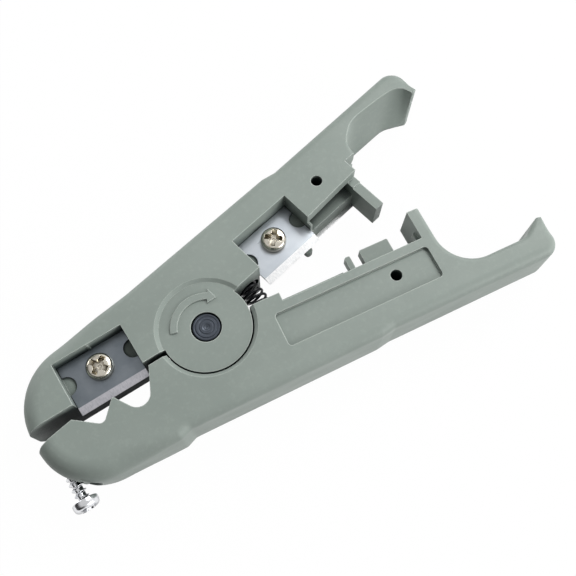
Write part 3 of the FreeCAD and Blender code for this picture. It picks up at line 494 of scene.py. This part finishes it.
def screwTree(use):
    tree, given = newTree("crossScrew", screwInputs)
    headRadius, headHeight, length, pitch = (given[n] for n in ("Head Radius", "Head Height", "Length", "Pitch"))

    def headOut(turnShare, share):
        return times(tree, drawCurve(tree, share, use["headOut"]), headRadius)

    def headUp(share):
        return times(tree, drawCurve(tree, share, use["headUp"]), headHeight)

    head = lathe(tree, use["headAround"], use["headRings"], headOut, headUp)

    def threadUp(share):
        return times(tree, calc(tree, "SUBTRACT", share, 1.0), length)

    def threadOut(turnShare, share):
        phase = calc(tree, "FRACT", calc(tree, "SUBTRACT", calc(tree, "DIVIDE", threadUp(share), pitch), turnShare))
        depth = calc(tree, "SUBTRACT", given["Thread Radius"], given["Core Radius"])
        crest = times(tree, drawCurve(tree, phase, use["crest"], True), depth)
        return times(tree, calc(tree, "ADD", given["Core Radius"], crest), drawCurve(tree, share, use["ends"], True))

    shank = lathe(tree, use["shankAround"], given["Rings"], threadOut, threadUp)

    wing = tree.nodes.new("GeometryNodeMeshCube")
    tree.links.new(join3(tree, times(tree, given["Recess Reach"], 2.0), given["Recess Width"],
                         times(tree, given["Recess Depth"], 2.0)), wing.inputs["Size"])
    for label in ("Vertices X", "Vertices Y", "Vertices Z"):
        wing.inputs[label].default_value = 3
    place = split3(tree, tree.nodes.new("GeometryNodeInputPosition").outputs[0])
    depthShare = calc(tree, "DIVIDE", place["Z"], given["Recess Depth"])
    slope = calc(tree, "ADD", 1.0, times(tree, depthShare, use["wingTaper"]))  # narrower with depth
    thin = calc(tree, "ADD", 1.0, times(tree, depthShare, use["sideTaper"]))
    taper = tree.nodes.new("GeometryNodeSetPosition")
    tree.links.new(wing.outputs["Mesh"], taper.inputs["Geometry"])
    tree.links.new(join3(tree, times(tree, place["X"], slope), times(tree, place["Y"], thin),
                         calc(tree, "ADD", place["Z"], headHeight)), taper.inputs["Position"])
    second = tree.nodes.new("GeometryNodeTransform")
    tree.links.new(taper.outputs[0], second.inputs["Geometry"])
    second.inputs["Rotation"].default_value = (0, 0, math.pi / 2)
    pit = tree.nodes.new("GeometryNodeMeshCone")
    pit.inputs["Vertices"].default_value = 8
    tree.links.new(times(tree, given["Recess Width"], use["pitTop"]), pit.inputs["Radius Top"])
    tree.links.new(times(tree, given["Recess Width"], use["pitFoot"]), pit.inputs["Radius Bottom"])
    tree.links.new(times(tree, given["Recess Depth"], use["pitDepth"]), pit.inputs["Depth"])
    sink = tree.nodes.new("GeometryNodeTransform")
    tree.links.new(pit.outputs["Mesh"], sink.inputs["Geometry"])
    floor = calc(tree, "SUBTRACT", headHeight, times(tree, given["Recess Depth"], use["pitSink"]))
    tree.links.new(join3(tree, 0.0, 0.0, floor), sink.inputs["Translation"])

    carve = tree.nodes.new("GeometryNodeMeshBoolean")
    carve.operation = "DIFFERENCE"
    carve.solver = "EXACT"
    tree.links.new(head, carve.inputs["Mesh 1"])
    for tool in (taper, second, sink):
        tree.links.new(tool.outputs[0], carve.inputs["Mesh 2"])
    whole = tree.nodes.new("GeometryNodeJoinGeometry")
    tree.links.new(carve.outputs["Mesh"], whole.inputs[0])
    tree.links.new(shank, whole.inputs[0])
    spin = tree.nodes.new("GeometryNodeTransform")
    tree.links.new(whole.outputs[0], spin.inputs["Geometry"])
    tree.links.new(join3(tree, 0.0, 0.0, given["Spin"]), spin.inputs["Rotation"])
    seat = tree.nodes.new("GeometryNodeTransform")
    tree.links.new(spin.outputs[0], seat.inputs["Geometry"])
    tree.links.new(given["Place"], seat.inputs["Translation"])
    tree.links.new(given["Turn"], seat.inputs["Rotation"])
    endTree(tree, given, seat.outputs[0])
    return tree


crossScrew = screwTree(screwShape)
over = math.pi  # turned over, head to the back
screwSpots = {
    "strip_blade_screw": ("upper_arm", "nickel", (-24.920, 2.504, 11.4), (0, 0, 0), 43.0, {}),
    "cut_blade_screw": ("upper_arm", "nickel", (23.417, 14.462, 9.8), (0, 0, 0), 57.0, {}),
    "upper_flat_screw": ("upper_arm", "nickel", (38.568, 22.217, 2.4), (over, 0, 0), 12.0, {}),
    "lower_flat_screw": ("lower_arm", "nickel", (44.450, -7.350, 2.4), (over, 0, 0), 31.0, {}),
    "depth_screw": ("depth_screw", "zinc", (-38.687, -22.246, 7.5), (over / 2, 0, math.radians(7.3)), 20.0, {
        "Head Radius": 2.9 * mm, "Head Height": 2.2 * mm, "Thread Radius": 1.5 * mm, "Core Radius": 1.0 * mm,
        "Length": 14.65 * mm, "Pitch": 1.36 * mm, "Rings": 220}),
}


def smoothTo(mesh, angle):  # smooth curves, corners crisp past this angle
    mesh.shade_smooth()
    mesh.set_sharp_from_angle(angle=math.radians(angle))


for name, (body, metal, spot, turn, spin, more) in screwSpots.items():
    values = dict(more, Place=tuple(c * mm for c in spot), Turn=turn, Spin=math.radians(spin))
    piece = bake(name + "_dressed", crossScrew, values, materials[metal])
    smoothTo(piece.data, 38)
    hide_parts(name)
    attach(piece, body)
print("screws ready:", len(screwSpots))


# pivot pin: both heads and the shank turned as one, with rings cut into the face
pinShape = {  # radius and height in mm, from the foot to the middle of the face
    "line": [(0, 0.80), (3.02, 0.80), (3.17, 0.95), (3.17, 2.30), (2.50, 2.30), (2.50, 12.70), (3.17, 12.70),
             (3.17, 14.02), (3.00, 14.20), (2.74, 14.20), (2.66, 14.09), (2.46, 14.09), (2.38, 14.20), (1.90, 14.20),
             (1.82, 14.10), (1.56, 14.10), (1.48, 14.20), (0.86, 14.20), (0.70, 14.10), (0.42, 14.10), (0.30, 14.02),
             (0, 14.0)],
    "tall": 15.0, "around": 97, "rowsPerStep": 3,
}


def pinTree(use):
    steps = len(use["line"]) - 1
    widest = max(radius for radius, height in use["line"])
    tree, given = newTree("turnedPin", {"Radius": widest * mm, "Height": use["tall"] * mm})
    outPoints = [(i / steps, radius / widest) for i, (radius, height) in enumerate(use["line"])]
    upPoints = [(i / steps, height / use["tall"]) for i, (radius, height) in enumerate(use["line"])]

    def out(turnShare, share):
        return times(tree, drawCurve(tree, share, outPoints, True), given["Radius"])

    def up(share):
        return times(tree, drawCurve(tree, share, upPoints, True), given["Height"])

    endTree(tree, given, lathe(tree, use["around"], steps * use["rowsPerStep"] + 1, out, up))
    return tree


turnedPin = bake("pivot_pin_dressed", pinTree(pinShape), {}, materials["pin"])
smoothTo(turnedPin.data, 30)
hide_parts("pivot_pin")
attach(turnedPin, "lower_arm")
print("pin ready")


# upper arm: the CAD solid with the scoop as a bowl, the corner by the spring opened and a prouder crush rib
scoop = {  # rim and foot of the bowl in mm on the arm, before it is turned open
    "rim": [(55.95, 8.0), (56.5, 10.2), (58.4, 12.2), (62.3, 14.15), (68.7, 14.1), (75.2, 13.5), (78.0, 11.95),
            (79.0, 9.6), (79.5, 7.6)],
    "foot": [(56.2, 7.7), (56.8, 9.8), (58.5, 11.2), (62.0, 11.78), (68.0, 11.78), (72.8, 11.65), (76.5, 10.30),
             (78.9, 9.05), (80.0, 8.2)],
    "corners": [(82.0, 4.0), (56.6, 4.0)],
    "footLevel": 1.2, "rimLevel": 14.7, "bowl": 0.82, "rows": 12, "flare": 0.45, "top": 15.8, "samples": 7,
}
backing = {  # fills the CAD recess, so that the bowl starts from solid plastic
    "wide": [(54.9, 11.0), (57.6, 11.0), (58.2, 9.2), (79.4, 9.07), (80.62, 9.37), (80.76, 10.7), (80.86, 11.7),
             (80.96, 12.5), (81.08, 14.2), (80.95, 15.2), (80.55, 16.2), (79.9, 16.9), (78.5, 17.1), (54.9, 16.9)],
    "narrow": [(55.6, 11.0), (57.6, 11.0), (58.2, 9.2), (78.9, 9.1), (79.3, 9.4), (79.3, 10.7), (79.3, 11.7),
               (79.3, 12.5), (79.2, 13.6), (79.1, 14.2), (78.9, 14.8), (78.5, 15.2), (78.0, 15.5), (55.6, 15.5)],
    "levels": [(8.7, 0.0), (14.0, 0.0), (14.65, 0.6), (14.995, 1.0)],
}
crushRib = {"reach": 24.4, "rise": 10.77, "radius": 0.40, "low": 10.6, "high": 14.5, "jawTurn": 7.3}
clearance = {  # open corner under the cutting blade, beside the spring
    "foot": (18.15, 25.2, 1.6, 7.2), "head": (18.15, 25.2, 1.6, 2.3), "low": -1.0, "high": 9.6,
}
armTurn = math.radians(19.0)


def throughPoints(points, samples):  # smooth line through the given points
    line = []
    for i in range(len(points) - 1):
        near = [Vector(points[max(0, min(len(points) - 1, i + k))]) for k in (-1, 0, 1, 2)]
        for step in range(samples):
            t = step / samples
            line.append(0.5 * (2 * near[1] + (near[2] - near[0]) * t
                               + (2 * near[0] - 5 * near[1] + 4 * near[2] - near[3]) * t * t
                               + (3 * near[1] - near[0] - 3 * near[2] + near[3]) * t * t * t))
    line.append(Vector(points[-1]))
    return line


def shellTool(name, rings, turn):  # a closed tool through rings of points in mm
    mesh = bpy.data.meshes.new(name)
    work = bmesh.new()
    rows = [[work.verts.new((x * mm, y * mm, z * mm)) for x, y, z in ring] for ring in rings]
    count = len(rows[0])
    for low, high in zip(rows, rows[1:]):
        for i in range(count):
            j = (i + 1) % count
            work.faces.new((low[i], low[j], high[j], high[i]))
    work.faces.new(list(reversed(rows[0])))
    work.faces.new(rows[-1])
    bmesh.ops.triangulate(work, faces=work.faces)
    bmesh.ops.recalc_face_normals(work, faces=work.faces)
    bmesh.ops.rotate(work, verts=work.verts, cent=(0, 0, 0), matrix=Matrix.Rotation(turn, 3, "Z"))
    work.to_mesh(mesh)
    work.free()
    return newObject(name, mesh)


def scoopTool(use):
    rim = throughPoints(use["rim"], use["samples"])
    foot = throughPoints(use["foot"], use["samples"])
    levels = [(use["footLevel"] + (use["rimLevel"] - use["footLevel"]) * i / use["rows"],
               (i / use["rows"]) ** use["bowl"], 0.0) for i in range(use["rows"] + 1)]
    levels.append((use["top"], 1.0, use["flare"] * (use["top"] - use["rimLevel"])))
    rings = []
    for level, share, flare in levels:
        ring = [low + (high - low) * share + (high - low).normalized() * flare for low, high in zip(foot, rim)]
        rings.append([(p.x, p.y, level) for p in ring] + [(x, y, level) for x, y in use["corners"]])
    return shellTool("scoop_tool", rings, armTurn)


def backingTool(use):
    rings = [[(*Vector(wide).lerp(Vector(narrow), share), level) for wide, narrow in zip(use["wide"], use["narrow"])]
             for level, share in use["levels"]]
    return shellTool("backing_tool", rings, armTurn)


def clearanceTool(use):
    rings = []
    for level, (left, right, front, back) in ((use["low"], use["foot"]), (use["high"], use["head"])):
        rings.append([(left, front, level), (right, front, level), (right, back, level), (left, back, level)])
    return shellTool("clearance_tool", rings, armTurn)


def ribTool(use, sides=24):
    ring = [(use["radius"] * math.cos(2 * math.pi * i / sides) - use["reach"],
             use["radius"] * math.sin(2 * math.pi * i / sides) + use["rise"]) for i in range(sides)]
    return shellTool("rib_tool", [[(x, y, level) for x, y in ring] for level in (use["low"], use["high"])],
                     math.radians(use["jawTurn"]))


def mergedCopy(name):  # a CAD node's mesh is loose triangles, so its copy is welded
    mesh = nodes[name].data.copy()
    mesh.name = name + "_dressed"
    work = bmesh.new()
    work.from_mesh(mesh)
    bmesh.ops.remove_doubles(work, verts=work.verts, dist=0.0002 * mm)
    print(name, "open edges:", sum(not edge.is_manifold for edge in work.edges))
    work.to_mesh(mesh)
    work.free()
    if "custom_normal" in mesh.attributes:
        mesh.attributes.remove(mesh.attributes["custom_normal"])
    mesh.materials.clear()
    return newObject(mesh.name, mesh)


def carved(piece, steps, material):
    for tool, operation in steps:
        modifier = piece.modifiers.new(tool.name, "BOOLEAN")
        modifier.operation = operation
        modifier.solver = "EXACT"
        modifier.object = tool
    bpy.context.view_layer.update()
    evaluated = piece.evaluated_get(bpy.context.evaluated_depsgraph_get())
    mesh = bpy.data.meshes.new_from_object(evaluated)
    mesh.name = piece.name
    piece.modifiers.clear()
    piece.data = mesh
    for tool, operation in steps:
        bpy.data.objects.remove(tool)
    mesh.materials.clear()
    mesh.materials.append(material)
    smoothTo(mesh, 28)
    return piece


upperArm = carved(mergedCopy("upper_arm"), [(backingTool(backing), "UNION"), (scoopTool(scoop), "DIFFERENCE"),
                                            (clearanceTool(clearance), "DIFFERENCE"),
                                            (ribTool(crushRib), "UNION")], materials["plastic"])
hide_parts("upper_arm")
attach(upperArm, "upper_arm")
print("upper arm ready:", len(upperArm.data.polygons), "faces")


# return spring, bent between the two arms
spring = {
    "Reach": 14.6 * mm, "Seat": 5.95 * mm, "Level": 7.5 * mm, "Coil Radius": 2.35 * mm, "Wire Radius": 0.33 * mm,
    "Turns": 13.0, "Sweep": math.radians(19.0), "Steps": 521,
}


def springTree(use):
    tree, given = newTree("bentCoil", use)
    line = tree.nodes.new("GeometryNodeMeshLine")
    tree.links.new(given["Steps"], line.inputs["Count"])
    index = tree.nodes.new("GeometryNodeInputIndex")
    share = calc(tree, "DIVIDE", index.outputs[0], calc(tree, "SUBTRACT", given["Steps"], 1.0))
    travel = drawCurve(tree, share, [(0, 0.0), (0.08, 0.036), (0.15, 0.105), (0.85, 0.895), (0.92, 0.964), (1, 1)])
    halfSweep = times(tree, given["Sweep"], 0.5)
    chordHalf = calc(tree, "ADD", times(tree, calc(tree, "SINE", halfSweep), given["Reach"]),
                     times(tree, calc(tree, "COSINE", halfSweep), given["Seat"]))
    bend = calc(tree, "DIVIDE", chordHalf, calc(tree, "SINE", halfSweep))
    margin = calc(tree, "DIVIDE", given["Wire Radius"], times(tree, bend, given["Sweep"]))
    inner = calc(tree, "SUBTRACT", 1.0, times(tree, margin, 2.0))
    bow = times(tree, given["Sweep"], calc(tree, "ADD", margin, times(tree, travel, inner)))
    phase = times(tree, share, given["Turns"], 2 * math.pi)
    out = calc(tree, "ADD", bend, times(tree, given["Coil Radius"], calc(tree, "COSINE", phase)))
    x = calc(tree, "ADD", calc(tree, "SUBTRACT", given["Reach"], bend), times(tree, out, calc(tree, "COSINE", bow)))
    y = calc(tree, "SUBTRACT", times(tree, out, calc(tree, "SINE", bow)), given["Seat"])
    z = calc(tree, "ADD", given["Level"], times(tree, given["Coil Radius"], calc(tree, "SINE", phase)))
    curve = tree.nodes.new("GeometryNodeMeshToCurve")
    move = tree.nodes.new("GeometryNodeSetPosition")
    tree.links.new(line.outputs[0], curve.inputs[0])
    tree.links.new(curve.outputs[0], move.inputs["Geometry"])
    tree.links.new(join3(tree, x, y, z), move.inputs["Position"])
    ring = tree.nodes.new("GeometryNodeCurvePrimitiveCircle")
    ring.inputs["Resolution"].default_value = 12
    tree.links.new(given["Wire Radius"], ring.inputs["Radius"])
    tube = tree.nodes.new("GeometryNodeCurveToMesh")
    tree.links.new(move.outputs[0], tube.inputs["Curve"])
    tree.links.new(ring.outputs[0], tube.inputs["Profile Curve"])
    tube.inputs["Fill Caps"].default_value = True
    endTree(tree, given, tube.outputs[0])
    return tree


coil = bake("return_spring_dressed", springTree(spring), {}, materials["spring"])
smoothTo(coil.data, 50)
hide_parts("return_spring")
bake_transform(coil)
print("spring ready")


# raised turning arrow on the disc
arrow = {
    "inner": 6.4 * mm, "outer": 8.1 * mm, "start": 167.5, "end": 65.0, "headInner": 5.5 * mm, "headOuter": 9.0 * mm,
    "tip": 48.5, "level": 14.4 * mm, "sink": 0.1 * mm, "rise": 0.42 * mm, "steps": 32, "bevel": 0.13 * mm,
    "bevelFrom": 50.0,
}


def arrowPiece(use):
    def at(radius, angle):
        return (radius * math.cos(math.radians(angle)), radius * math.sin(math.radians(angle)))
    angles = [use["start"] + (use["end"] - use["start"]) * i / use["steps"] for i in range(use["steps"] + 1)]
    outline = [at(use["outer"], a) for a in angles]
    outline += [at(use["headOuter"], use["end"]), at((use["inner"] + use["outer"]) / 2, use["tip"]),
                at(use["headInner"], use["end"])]
    outline += [at(use["inner"], a) for a in reversed(angles)]
    mesh = bpy.data.meshes.new("turning_arrow")
    work = bmesh.new()
    low = [work.verts.new((x, y, use["level"] - use["sink"])) for x, y in outline]
    base = work.faces.new(low)
    raised = bmesh.ops.extrude_face_region(work, geom=[base])["geom"]
    for item in raised:
        if isinstance(item, bmesh.types.BMVert):
            item.co.z = use["level"] + use["rise"]
    bmesh.ops.recalc_face_normals(work, faces=work.faces)
    work.to_mesh(mesh)
    work.free()
    piece = newObject("turning_arrow", mesh)
    modifier = piece.modifiers.new("soften", "BEVEL")
    modifier.width = use["bevel"]
    modifier.segments = 2
    modifier.limit_method = "ANGLE"
    modifier.angle_limit = math.radians(use["bevelFrom"])
    mesh.materials.append(materials["plastic"])
    return piece


sign = arrowPiece(arrow)
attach(sign, "upper_arm")
print("arrow ready")


# floor, light and camera
studio = {
    "floorSize": 3.0, "floorDrop": 0.1 * mm, "floorSeen": 0.97, "floorLit": 0.30,
    "floorGlow": 0.985,  # this near 1, the white hides the shadow on the floor
    "skyAcross": (-0.8, 0.8), "skyLevels": (0.12, 0.44),  # left, right
    "mirrorAcross": (-0.35, 0.35), "mirrorLevels": (0.04, 1.0), "mirrorUp": (0.5, 0.88), "mirrorTop": 0.68,
    "lightsAim": (0.02, 0.01, 0),
    "lights": {
        "key": {"at": (0.364, 0.202, 0.44), "size": 0.30, "power": 2.3},
        "front": {"at": (0.36, -0.42, 0.16), "size": 0.36, "power": 2.3},
        "rim": {"at": (-0.25, 0.45, 0.13), "size": 0.36, "power": 1.35},
    },
}


def seenRay(tree):
    path = tree.nodes.new("ShaderNodeLightPath")
    most = calc(tree, "MAXIMUM", path.outputs["Is Camera Ray"], path.outputs["Is Glossy Ray"])
    return calc(tree, "MAXIMUM", most, path.outputs["Is Transmission Ray"])


def buildStudio(use):
    size, level = use["floorSize"], -use["floorDrop"]
    mesh = bpy.data.meshes.new("floor")
    mesh.from_pydata([(x * size, y * size, level) for x, y in ((-1, -1), (1, -1), (1, 1), (-1, 1))], [],
                     [(0, 1, 2, 3)])
    floor = newObject("floor", mesh)
    material, tree, shader = newMaterial("floor_white")
    seen = seenRay(tree)
    paper = mixColor(tree, seen, (use["floorLit"],) * 3, (use["floorSeen"],) * 3)
    tree.links.new(paper, shader.inputs["Base Color"])
    shader.inputs["Roughness"].default_value = 0.9
    glow = tree.nodes.new("ShaderNodeEmission")
    glow.inputs["Strength"].default_value = 1.0
    blend = tree.nodes.new("ShaderNodeMixShader")
    tree.links.new(times(tree, seen, use["floorGlow"]), blend.inputs[0])
    tree.links.new(shader.outputs[0], blend.inputs[1])
    tree.links.new(glow.outputs[0], blend.inputs[2])
    tree.links.new(blend.outputs[0], tree.nodes["Material Output"].inputs["Surface"])
    mesh.materials.append(material)

    world = bpy.data.worlds.new("studio")
    bpy.context.scene.world = world
    world.use_nodes = True
    tree = world.node_tree
    back = tree.nodes["Background"]
    way = split3(tree, tree.nodes.new("ShaderNodeTexCoord").outputs["Generated"])
    sky = ease(tree, way["X"], *use["skyAcross"], *use["skyLevels"])
    path = tree.nodes.new("ShaderNodeLightPath")
    side = ease(tree, way["X"], *use["mirrorAcross"], *use["mirrorLevels"])
    mirror = mixFloat(tree, ease(tree, way["Z"], *use["mirrorUp"]), side, use["mirrorTop"])
    level = mixFloat(tree, path.outputs["Is Glossy Ray"], sky, mirror)
    level = mixFloat(tree, path.outputs["Is Camera Ray"], level, 1.0)
    tree.links.new(level, back.inputs["Strength"])
    back.inputs["Color"].default_value = (1, 1, 1, 1)

    for name, lamp in use["lights"].items():
        light = bpy.data.lights.new(name, "AREA")
        light.size = lamp["size"]
        light.energy = lamp["power"]
        holder = newObject(name, light)
        holder.location = lamp["at"]
        aim = Vector(use["lightsAim"]) - Vector(lamp["at"])
        holder.rotation_euler = aim.to_track_quat("-Z", "Y").to_euler()


view = {"at": (-0.00542, -0.05013, 0.16590), "turn": (20.565, -0.530, -25.700), "lens": 44.31}


def placeCamera(use):
    camera = bpy.data.cameras.new("camera")
    camera.lens = use["lens"]
    camera.sensor_width = 36.0
    camera.clip_start = 0.005
    holder = newObject("camera", camera)
    holder.location = use["at"]
    holder.rotation_euler = [math.radians(a) for a in use["turn"]]
    bpy.context.scene.camera = holder


buildStudio(studio)
placeCamera(view)
bpy.context.scene.view_settings.view_transform = "Standard"
print("studio ready")
